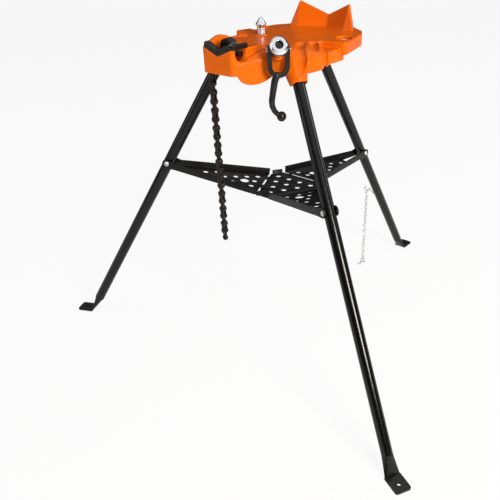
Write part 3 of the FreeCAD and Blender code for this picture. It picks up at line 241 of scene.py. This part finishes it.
class Surface(Graph):
    """A material's nodes round one shader, placed by the object's own coordinates."""

    CHIPS = Grain(260.0, 5.0, 0.65)
    CHIP_SPAN: Span = (0.42, 0.62)
    BUMP_STRENGTH = 0.5

    def __init__(self, name: str) -> None:
        """Makes the material with its shader and its output."""
        self.material = bpy.data.materials.new(name)
        self.material.use_nodes = True
        super().__init__(self.material.node_tree)
        self.shader = self.node("BsdfPrincipled", {}, {})
        self.node("OutputMaterial", {}, {"Surface": self.shader.outputs[0]})
        self.place = self.node("TexCoord", {}, {}).outputs["Object"]

    def noise(self, grain: Grain) -> Wire:
        """Adds a noise that fills the object's space.

        Args:
            grain: its size, detail and roughness.

        Returns:
            A cloudy number from 0 to 1.
        """
        sockets = {
            "Vector": self.place,
            "Scale": grain.per_metre,
            "Detail": grain.detail,
            "Roughness": grain.roughness,
        }
        return Wire(self, self.node("TexNoise", {}, sockets).outputs[0])

    def ramp(self, wire: Wire, span: Span) -> Wire:
        """Spreads a number from 0 at the span's low end to 1 at its high end."""
        node = self.node("ValToRGB", {"stops": ((span[0], 0.0), (span[1], 1.0))}, {0: wire})
        return Wire(self, node.outputs[0])

    def blend(self, share: Value, first: Value, second: Value) -> bpy.types.NodeSocket:
        """Blends two colours.

        Args:
            share: how much of the second there is.
            first: the first colour.
            second: the second colour.

        Returns:
            The blended colour.
        """
        sockets = {0: share, MIX_COLOURS[0]: first, MIX_COLOURS[1]: second}
        return self.node("Mix", {"data_type": "RGBA"}, sockets).outputs[MIX_COLOUR_OUT]

    def worn_edge(self, span: Span) -> Wire:
        """Gives 1 along outer edges and 0 elsewhere.

        Args:
            span: the sharpness where wear starts, and where it is full.

        Returns:
            The mask, broken up by a fine noise.
        """
        sharp = Wire(self, self.node("NewGeometry", {}, {}).outputs["Pointiness"])
        chips = self.ramp(self.noise(self.CHIPS), self.CHIP_SPAN)
        return (self.ramp(sharp, span) * chips).clamped()

    def bump(self, height: Wire, depth: float, strength: float = BUMP_STRENGTH) -> None:
        """Feeds a height in metres to the shader's normal."""
        sockets = {"Height": height, "Distance": depth, "Strength": strength}
        self.feed(self.shader.inputs["Normal"], self.node("Bump", {}, sockets).outputs[0])

    def finish(self, varying: dict[str, Value], fixed: dict[str, Value]) -> bpy.types.Material:
        """Sets the shader's sockets.

        Args:
            varying: what changes over the surface.
            fixed: what is the same all over it.

        Returns:
            The finished material.
        """
        for key, value in {**fixed, **varying}.items():
            self.feed(self.shader.inputs[key], value)
        return self.material


@dataclass(frozen=True)
class CastEnamel:
    """Thick glossy enamel over a sand casting."""

    name: str = "orange_enamel"
    colour: Colour = linear(232, 104, 2)
    deep: Colour = linear(208, 72, 0)
    iron: Colour = linear(92, 52, 30)
    roughness: float = 0.24
    ior: float = 1.24
    patches: Grain = Grain(16.0, 4.0)
    patch_span: Span = (0.35, 0.72)
    patch_share: float = 0.3
    sand: Grain = Grain(620.0, 4.0, 0.6)
    sand_height: float = 0.2
    sand_haze: float = 0.08
    peel: Grain = Grain(190.0, 2.0)
    peel_height: float = 0.4
    waves: Grain = Grain(42.0, 2.0)
    wave_height: float = 1.4
    wear_span: Span = (0.62, 0.76)
    wear_share: float = 0.25
    wear_haze: float = 0.4
    depth: float = 0.7 * MM

    def material(self) -> bpy.types.Material:
        """Makes the enamel.

        Returns:
            The enamel over its casting grain, with orange peel and worn edges.
        """
        graph = Surface(self.name)
        patches = graph.ramp(graph.noise(self.patches), self.patch_span)
        sand = graph.noise(self.sand)
        worn = graph.worn_edge(self.wear_span) * self.wear_share
        colour = graph.blend(patches * self.patch_share, self.colour, self.deep)
        colour = graph.blend(worn, colour, self.iron)
        relief = sand * self.sand_height + graph.noise(self.peel) * self.peel_height
        graph.bump(relief + graph.noise(self.waves) * self.wave_height, self.depth)
        haze = self.roughness + sand * self.sand_haze + worn * self.wear_haze
        return graph.finish({"Base Color": colour, "Roughness": haze}, {"IOR": self.ior})


@dataclass(frozen=True)
class BlackPaint:
    """Black paint on tube or sheet."""

    name: str
    colour: Colour = linear(9, 9, 10)
    scuff: Colour = linear(34, 34, 37)
    roughness: float = 0.14
    ior: float = 1.42
    peel: Grain = Grain(320.0)
    waves: Grain = Grain(48.0, 2.0)
    wave_height: float = 1.2
    clouds: Grain = Grain(14.0, 5.0, 0.6)
    cloud_haze: float = 0.06
    scuffs: Grain = Grain(85.0, 6.0, 0.7)
    scuff_span: Span = (0.58, 0.76)
    scuff_share: float = 0.4
    scuff_haze: float = 0.12
    depth: float = 0.1 * MM

    def material(self) -> bpy.types.Material:
        """Makes the paint.

        Returns:
            The paint, with faint scuffs and a fine peel.
        """
        graph = Surface(self.name)
        clouds = graph.noise(self.clouds)
        scuffs = graph.ramp(graph.noise(self.scuffs), self.scuff_span)
        colour = graph.blend(scuffs * clouds * self.scuff_share, self.colour, self.scuff)
        graph.bump(graph.noise(self.peel) + graph.noise(self.waves) * self.wave_height, self.depth)
        haze = self.roughness + scuffs * self.scuff_haze + clouds * self.cloud_haze
        return graph.finish({"Base Color": colour, "Roughness": haze}, {"IOR": self.ior})


@dataclass(frozen=True)
class OiledSteel:
    """Forged or hardened steel with a black oil finish."""

    name: str
    colour: Colour = linear(11, 10, 10)
    # light grey for the edges: rubbed bare steel, and partly a painted highlight
    bare_and_glint: Colour = linear(120, 116, 110)
    roughness: float = 0.24
    metallic: float = 0.1
    wear_and_glint: float = 0.7
    ior: float = 1.42
    grain: Grain = Grain(900.0, 4.0, 0.6)
    grain_haze: float = 0.1
    dents: Grain = Grain(150.0, 2.0)
    dent_height: float = 0.8
    patches: Grain = Grain(60.0, 4.0)
    patch_span: Span = (0.38, 0.7)
    patch_share: float = 0.08
    wear_span: Span = (0.54, 0.66)
    wear_gloss: float = 0.1
    wear_metal: float = 0.5
    depth: float = 0.12 * MM
    strength: float = 0.4

    def material(self) -> bpy.types.Material:
        """Makes the oiled steel.

        Returns:
            The steel, lighter along its edges: partly rubbed bare, partly a painted highlight.
        """
        graph = Surface(self.name)
        grain = graph.noise(self.grain)
        patches = graph.ramp(graph.noise(self.patches), self.patch_span)
        # edges and patches lightened toward the light grey: partly rubbed wear, partly a painted
        # highlight
        worn = graph.worn_edge(self.wear_span) * self.wear_and_glint
        rubbed_and_glint = (worn + patches * self.patch_share).clamped()
        graph.bump(grain + graph.noise(self.dents) * self.dent_height, self.depth, self.strength)
        return graph.finish(
            {
                "Base Color": graph.blend(rubbed_and_glint, self.colour, self.bare_and_glint),
                "Roughness": self.roughness + grain * self.grain_haze - worn * self.wear_gloss,
                "Metallic": (self.metallic + worn * self.wear_metal).clamped(),
            },
            {"IOR": self.ior},
        )


@dataclass(frozen=True)
class Plating:
    """Bright metal plating over steel."""

    name: str
    colour: Colour
    tarnish: Colour
    roughness: float
    spread: float
    grain: Grain = Grain(300.0)
    waves: Grain = Grain(90.0, 2.0)
    wave_height: float = 0.6
    haze: Grain = Grain(70.0, 5.0, 0.6)
    haze_span: Span = (0.4, 0.75)
    haze_share: float = 0.6
    depth: float = 0.05 * MM

    def material(self) -> bpy.types.Material:
        """Makes the plating.

        Returns:
            The plating, with a little haze and fine grinding under it.
        """
        graph = Surface(self.name)
        haze = graph.ramp(graph.noise(self.haze), self.haze_span)
        colour = graph.blend(haze * self.haze_share, self.colour, self.tarnish)
        graph.bump(graph.noise(self.grain) + graph.noise(self.waves) * self.wave_height, self.depth)
        return graph.finish(
            {"Base Color": colour, "Roughness": self.roughness + haze * self.spread},
            {"Metallic": 1.0},
        )


FINISHES: dict[Slot, CastEnamel | BlackPaint | OiledSteel | Plating] = {
    Slot.ENAMEL: CastEnamel(),
    Slot.TUBE: BlackPaint("gloss_black_tube"),
    Slot.SHEET: BlackPaint(
        "satin_black_sheet",
        colour=linear(14, 14, 15),
        scuff=linear(42, 42, 45),
        roughness=0.34,
        ior=1.36,
        peel=Grain(520.0),
    ),
    Slot.BLACK: OiledSteel("black_forged_steel", wear_and_glint=0.3),
    Slot.HARD: OiledSteel("oiled_hardened_steel", linear(46, 44, 43), metallic=0.75, roughness=0.22),
    Slot.CHROME: Plating(
        "bright_chrome",
        colour=(0.86, 0.87, 0.9),
        tarnish=(0.5, 0.51, 0.53),
        roughness=0.12,
        spread=0.16,
    ),
    Slot.ZINC: Plating(
        "zinc_plate",
        colour=(0.78, 0.79, 0.8),
        tarnish=(0.48, 0.48, 0.46),
        roughness=0.26,
        spread=0.18,
        grain=Grain(500.0),
    ),
}


class Workshop:
    """Makes the materials once and turns CAD nodes and new meshes into dressed pieces."""

    BEVEL_STEPS = 2
    SMOOTHING = 0.5

    def __init__(self) -> None:
        """Makes one material for each slot and reads the record's slots and bodies."""
        self.materials = {slot: finish.material() for slot, finish in FINISHES.items()}
        record = frame["record"]
        self.slots = {row["node"]: Slot(row["material_slot"]) for row in record["subparts"]}
        bodies = record["behaviour"]["bodies"]
        self.bodies = {node: body for body, nodes in bodies.items() for node in nodes}

    def dress(self, *nodes: str) -> None:
        """Gives CAD nodes the finish that the record names.

        Args:
            nodes: the nodes' names.
        """
        for name in nodes:
            node = frame["nodes"][name]
            material = self.materials[self.slots[name]]
            if not node.material_slots:
                node.data.materials.append(material)
            for place in node.material_slots:
                place.material = material
            LOG.info("node %s takes %s", name, self.slots[name].value)

    def piece(self, name: str, mesh: bpy.types.Mesh, node: str) -> bpy.types.Object:
        """Makes a new piece in a CAD node's place, on its body and in its finish.

        Args:
            name: the piece's name.
            mesh: its mesh, in the frame's metres.
            node: the CAD node that it stands for.

        Returns:
            The piece.
        """
        mesh.materials.clear()
        mesh.materials.append(self.materials[self.slots[node]])
        thing = bpy.data.objects.new(name, mesh)
        bpy.context.scene.collection.objects.link(thing)
        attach(thing, self.bodies[node])
        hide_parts(node)
        LOG.info("piece %s stands for %s with %d faces", name, node, len(mesh.polygons))
        return thing

    @staticmethod
    def loose_copy(node: str, flat: bool = False) -> bpy.types.Mesh:
        """Copies a node's mesh with its seams closed.

        Args:
            node: the CAD node.
            flat: whether level triangles are joined into whole faces.

        Returns:
            The copy.
        """
        form = bmesh.new()
        form.from_mesh(frame["nodes"][node].data)
        bmesh.ops.remove_doubles(form, verts=form.verts, dist=SEAM)
        if flat:
            bmesh.ops.dissolve_limit(form, angle_limit=LEVEL, verts=form.verts, edges=form.edges)
        mesh = bpy.data.meshes.new(node + "_copy")
        form.to_mesh(mesh)
        form.free()
        return mesh

    @staticmethod
    def modified(mesh: bpy.types.Mesh, *modifiers: tuple[str, dict[str, object]]) -> bpy.types.Mesh:
        """Runs modifiers over a mesh.

        Args:
            mesh: the mesh to start from.
            modifiers: each one's type and settings, in order.

        Returns:
            A new mesh with all of them applied.
        """
        holder = bpy.data.objects.new("holder", mesh)
        bpy.context.scene.collection.objects.link(holder)
        for kind, settings in modifiers:
            modifier = holder.modifiers.new(kind.lower(), kind)
            for key, value in settings.items():
                setattr(modifier, key, value)
        graph = bpy.context.evaluated_depsgraph_get()
        result = bpy.data.meshes.new_from_object(holder.evaluated_get(graph))
        bpy.data.objects.remove(holder)
        return result

    def eased(self, name: str, node: str, width: float) -> bpy.types.Object:
        """Makes a piece from a CAD node with its sharp edges broken.

        Args:
            name: the piece's name.
            node: the CAD node it stands for.
            width: the width of each broken edge in metres.

        Returns:
            The piece.
        """
        bevel = {
            "width": width,
            "segments": self.BEVEL_STEPS,
            "limit_method": "ANGLE",
            "angle_limit": SHARP,
        }
        mesh = self.modified(self.loose_copy(node, flat=True), ("BEVEL", bevel), ("TRIANGULATE", {}))
        mesh.shade_smooth()
        mesh.set_sharp_from_angle(angle=SHARP)
        return self.piece(name, mesh, node)

    def softened(self, node: str, voxel: float, passes: int) -> bpy.types.Mesh:
        """Rounds a node's edges as casting or forging does.

        Args:
            node: the CAD node.
            voxel: the size of the remesh in metres.
            passes: how often the result is smoothed.

        Returns:
            The rounded mesh, shaded smooth.
        """
        mesh = self.modified(
            self.loose_copy(node),
            ("REMESH", {"mode": "VOXEL", "voxel_size": voxel, "use_smooth_shade": True}),
            ("SMOOTH", {"factor": self.SMOOTHING, "iterations": passes}),
        )
        mesh.shade_smooth()
        return mesh


@dataclass(frozen=True)
class Thread:
    """A screw thread that is cut into a fine mesh round an axis.

    Attributes:
        origin: the point on the axis from which start and stop are measured.
        axis: the axis's direction, of length 1.
        start: where the thread starts along the axis.
        stop: where it stops.
        radius: the radius of its crests.
        pitch: how far one turn moves along the axis.
        depth: the depth of its groove.
        skin: how far from the radius a vertex may lie and still be pressed in.
        flank: how steep its flanks are, where 2 is a sharp vee and more leaves a flat floor.
    """

    origin: Vector
    axis: Vector
    start: float
    stop: float
    radius: float
    pitch: float = 4.0 * MM
    depth: float = 1.3 * MM
    skin: float = 0.7 * MM
    flank: float = 2.4

    def height(self, along: float, turn: float) -> float:
        """Gives the depth of the groove.

        Args:
            along: the distance along the axis in metres.
            turn: the angle round it, in turns.

        Returns:
            The depth in metres, nothing at the crest.
        """
        share = (along / self.pitch - turn) % 1.0
        fade = min(1.0, (along - self.start) / self.pitch, (self.stop - along) / self.pitch)
        return self.depth * min(1.0, self.flank * min(share, 1.0 - share)) * max(0.0, fade)

    def cut(self, mesh: bpy.types.Mesh) -> bpy.types.Mesh:
        """Presses the groove into the outer skin of the mesh.

        Args:
            mesh: the mesh, fine enough to show the thread.

        Returns:
            The same mesh.
        """
        across = self.axis.orthogonal().normalized()
        third = self.axis.cross(across)
        for vertex in mesh.vertices:
            offset = vertex.co - self.origin
            along = offset.dot(self.axis)
            outward = offset - self.axis * along
            if self.start < along < self.stop and abs(outward.length - self.radius) < self.skin:
                turn = math.atan2(outward.dot(third), outward.dot(across)) / math.tau
                vertex.co -= outward.normalized() * self.height(along, turn)
        mesh.update()
        return mesh


@dataclass
class Casting:
    """The one-piece enamelled head: deck, vee rest, bending shoulders, leg bosses and vise head."""

    shop: Workshop
    voxel: float = 1.5 * MM
    passes: int = 5

    def build(self) -> None:
        """Makes the casting with its rounded edges."""
        rounded = self.shop.softened("base_casting", self.voxel, self.passes)
        self.shop.piece("enamelled_casting", rounded, "base_casting")
        self.shop.dress("leg_hinge_pins")


@dataclass
class ChainVise:
    """The jaws, the chain with its screw, and the nut with its swinging handle."""

    shop: Workshop
    handle_voxel: float = 0.6 * MM
    handle_passes: int = 4
    voxel: float = 0.5 * MM
    passes: int = 3
    plate_edge: float = 0.35 * MM
    pin_edge: float = 0.45 * MM
    tooth_edge: float = 0.3 * MM
    nut_edge: float = 0.7 * MM
    screw_joint: str = "chain_screw_travel"
    screw_passes: int = 1
    screw_tip: float = 0.6 * MM
    screw_plain: float = 1.0 * MM
    screw_radius: float = 8.0 * MM
    screw_reach: float = 60.0 * MM
    screw_pitch: float = 5.0 * MM
    screw_groove: float = 1.0 * MM
    runs: Sequence[str] = ("upper", "middle", "lower")

    def forgings(self) -> None:
        """Makes the handle and the chain's horn with their forged, rounded edges."""
        handle = self.shop.softened("handle", self.handle_voxel, self.handle_passes)
        self.shop.piece("forged_handle", handle, "handle")
        for name, node in (("forged_horn", "chain_horn"), ("forged_catch_bar", "catch_bar")):
            self.shop.piece(name, self.shop.softened(node, self.voxel, self.passes), node)

    def screw(self) -> None:
        """Cuts the thread on the chain's screw, downwards from its upper end."""
        axis = self.screw_axis()
        mesh = self.shop.softened("chain_screw", self.voxel, self.screw_passes)
        top = max(vertex.co.dot(axis) for vertex in mesh.vertices)
        tip = [vertex.co for vertex in mesh.vertices if top - vertex.co.dot(axis) < self.screw_tip]
        thread = Thread(
            origin=sum(tip, Vector()) / len(tip),
            axis=axis,
            start=-self.screw_reach,
            stop=-self.screw_plain,
            radius=self.screw_radius,
            pitch=self.screw_pitch,
            depth=self.screw_groove,
        )
        self.shop.piece("threaded_chain_screw", thread.cut(mesh), "chain_screw")

    def screw_axis(self) -> Vector:
        """Returns the direction in which the chain's screw travels, of length 1."""
        joints = {joint["name"]: joint for joint in frame["record"]["behaviour"]["joints"]}
        return Vector(joints[self.screw_joint]["axis"]).normalized()

    def build(self) -> None:
        """Makes the vise's pieces."""
        self.forgings()
        self.screw()
        self.shop.eased("flanged_nut", "handle_nut", self.nut_edge)
        self.shop.dress("thrust_washer", "chain_screw_pin")
        for side in ("left", "right"):
            self.shop.eased(f"toothed_jaw_{side}", f"jaw_{side}", self.tooth_edge)
        for run in self.runs:
            for kind in ("outer", "inner"):
                name, node = f"{kind}_chain_plates_{run}", f"chain_{kind}_plates_{run}"
                self.shop.eased(name, node, self.plate_edge)
            self.shop.eased(f"chain_rivets_{run}", f"chain_pins_{run}", self.pin_edge)


@dataclass
class Tripod:
    """The three legs, the folding tool tray and the fine chain on the rear leg."""

    shop: Workshop
    sides: Sequence[str] = ("left", "right", "rear")
    sheet_edge: float = 0.5 * MM
    rivet_voxel: float = 0.4 * MM
    rivet_passes: int = 4

    def build(self) -> None:
        """Makes the tray's eased sheets and domed rivets, and dresses the rest."""
        for side in self.sides:
            self.shop.dress(f"leg_{side}", f"tray_pin_{side}")
            self.shop.eased(f"pressed_wing_{side}", f"tray_wing_{side}", self.sheet_edge)
            rivets = self.shop.softened(f"arm_rivets_{side}", self.rivet_voxel, self.rivet_passes)
            self.shop.piece(f"domed_rivets_{side}", rivets, f"arm_rivets_{side}")
        self.shop.eased("pressed_centre", "tray_centre", self.sheet_edge)
        self.shop.dress("tray_hinge_rivets", "tray_catch")
        self.shop.dress("retainer_chain", "retainer_hook_top", "retainer_hook_bottom")


@dataclass
class BraceScrew:
    """The chromed screw that stands on the deck and braces the stand against a ceiling."""

    shop: Workshop
    voxel: float = 0.5 * MM
    radius: float = 9.75 * MM
    collar: float = 17.0 * MM
    passes: int = 2

    def build(self) -> None:
        """Makes the screw with its pointed cap and its thread."""
        low, high = (Vector(corner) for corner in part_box("brace_screw"))
        foot = Vector(((low.x + high.x) / 2, (low.y + high.y) / 2, low.z))
        mesh = self.shop.softened("brace_screw", self.voxel, self.passes)
        thread = Thread(foot, UP, 0.0, high.z - low.z - self.collar, self.radius)
        self.shop.piece("threaded_brace_screw", thread.cut(mesh), "brace_screw")


@dataclass(frozen=True)
class Lamp:
    """A soft square lamp that faces the stand."""

    name: str
    place: Place
    size: float
    power: float
    colour: Colour
    aim: Place = (0.0, 0.0, 0.6)

    def light(self) -> None:
        """Hangs the lamp in the scene."""
        light = bpy.data.lights.new(self.name, "AREA")
        light.size = self.size
        light.energy = self.power
        light.color = self.colour
        lamp = bpy.data.objects.new(self.name, light)
        lamp.location = self.place
        lamp.rotation_mode = "QUATERNION"
        lamp.rotation_quaternion = (Vector(self.place) - Vector(self.aim)).to_track_quat("Z", "Y")
        bpy.context.scene.collection.objects.link(lamp)


@dataclass
class Studio:
    """The camera, the lamps, the floor and the white around them."""

    eye: Place = (0.90963, -1.25219, 0.99484)
    yaw: float = 40.45
    pitch: float = 34.04
    roll: float = 1.33
    focal_px: float = 596.593
    centre_px: tuple[float, float] = (284.858, 314.265)
    image_px: float = 500.0
    sensor: float = 36.0
    clip: Span = (0.05, 50.0)
    air: Colour = (0.95, 0.96, 1.0)
    ambient: float = 0.34
    horizon: float = 0.03
    dusk: float = 0.42
    rise: float = 2.5
    mirrored: float = 0.1
    floor_half: float = 40.0
    floor_colour: Colour = (0.86, 0.86, 0.86)
    floor_glow: float = 0.9
    lamps: Sequence[Lamp] = (
        Lamp("key", (3.0, -1.3, 1.9), 1.1, 115.0, (1.0, 0.95, 0.86)),
        Lamp("fill", (-2.2, -2.6, 1.8), 2.4, 20.0, (0.96, 0.98, 1.0)),
        Lamp("back", (2.4, 2.6, 2.6), 2.0, 34.0, WHITE),
    )

    def camera(self) -> None:
        """Sets up the camera at the eye, with the frame's small shift."""
        yaw, pitch, roll = (math.radians(angle) for angle in (self.yaw, self.pitch, self.roll))
        level_ahead = math.cos(pitch)
        ahead = Vector((-math.sin(yaw) * level_ahead, math.cos(yaw) * level_ahead, -math.sin(pitch)))
        level = Vector((math.cos(yaw), math.sin(yaw), 0.0))
        below = ahead.cross(level)
        right = level * math.cos(roll) + below * math.sin(roll)
        down = ahead.cross(right)
        lens = bpy.data.cameras.new("camera")
        lens.sensor_width = self.sensor
        lens.lens = self.focal_px / self.image_px * self.sensor
        lens.shift_x = (self.image_px / 2 - self.centre_px[0]) / self.image_px
        lens.shift_y = (self.centre_px[1] - self.image_px / 2) / self.image_px
        lens.clip_start, lens.clip_end = self.clip
        camera = bpy.data.objects.new("camera", lens)
        camera.matrix_world = Matrix((right, -down, -ahead)).transposed().to_4x4()
        camera.location = self.eye
        bpy.context.scene.collection.objects.link(camera)
        bpy.context.scene.camera = camera

    def world(self) -> None:
        """Lights the scene softly from all round and shows white behind it.

        What mirrors in the stand is dark near the horizon and white overhead, as in a room.
        """
        world = bpy.data.worlds.new("white_studio")
        bpy.context.scene.world = world
        world.use_nodes = True
        graph = Graph(world.node_tree)
        plain = graph.node("Background", {}, {"Color": self.air, "Strength": self.ambient})
        dark = graph.node("Background", {}, {"Color": self.air, "Strength": self.horizon})
        white = graph.node("Background", {}, {"Color": WHITE, "Strength": 1.0})
        direction = graph.node("TexCoord", {}, {}).outputs["Generated"]
        ray = graph.node("SeparateXYZ", {}, {0: direction})
        above = ((Wire(graph, ray.outputs["Z"]) - self.dusk) * self.rise).clamped()
        mirrored = self.mix(graph, above, dark, white)
        softly = self.mix(graph, graph.rays("Glossy"), plain, mirrored)
        seen = self.mix(graph, graph.rays("Camera", "Transmission"), softly, white)
        graph.node("OutputWorld", {}, {0: seen.outputs[0]})

    @staticmethod
    def mix(graph: Graph, share: Wire, first: bpy.types.Node, second: bpy.types.Node) -> bpy.types.Node:
        """Adds a Mix Shader, with share as how much of the second there is."""
        return graph.node("MixShader", {}, {0: share, 1: first.outputs[0], 2: second.outputs[0]})

    def floor(self) -> None:
        """Lays the pale floor, which keeps a faint shadow."""
        mesh = bpy.data.meshes.new("floor")
        half = self.floor_half
        corners = [(-half, -half, 0.0), (half, -half, 0.0), (half, half, 0.0), (-half, half, 0.0)]
        mesh.from_pydata(corners, [], [range(len(corners))])
        floor = bpy.data.objects.new("floor", mesh)
        bpy.context.scene.collection.objects.link(floor)
        material = bpy.data.materials.new("pale_floor")
        material.use_nodes = True
        graph = Graph(material.node_tree)
        matt = graph.node("BsdfDiffuse", {}, {"Color": self.floor_colour})
        glow = graph.node("Emission", {}, {"Color": WHITE, "Strength": 1.0})
        seen = graph.rays("Camera", "Transmission") + graph.rays("Glossy") * self.mirrored
        share = seen * self.floor_glow
        graph.node("OutputMaterial", {}, {"Surface": self.mix(graph, share, matt, glow).outputs[0]})
        mesh.materials.append(material)

    def build(self) -> None:
        """Sets up everything that isn't the object."""
        bpy.context.scene.view_settings.view_transform = "Standard"
        self.camera()
        self.world()
        self.floor()
        for lamp in self.lamps:
            lamp.light()
        LOG.info("camera, lamps, world and floor are in place")


def main() -> None:
    """Builds the whole scene."""
    logging.basicConfig(level=logging.INFO, format="%(name)s: %(message)s")
    Studio().build()
    shop = Workshop()
    for assembly in (Casting(shop), ChainVise(shop), Tripod(shop), BraceScrew(shop)):
        assembly.build()


if __name__ == "__main__":
    main()
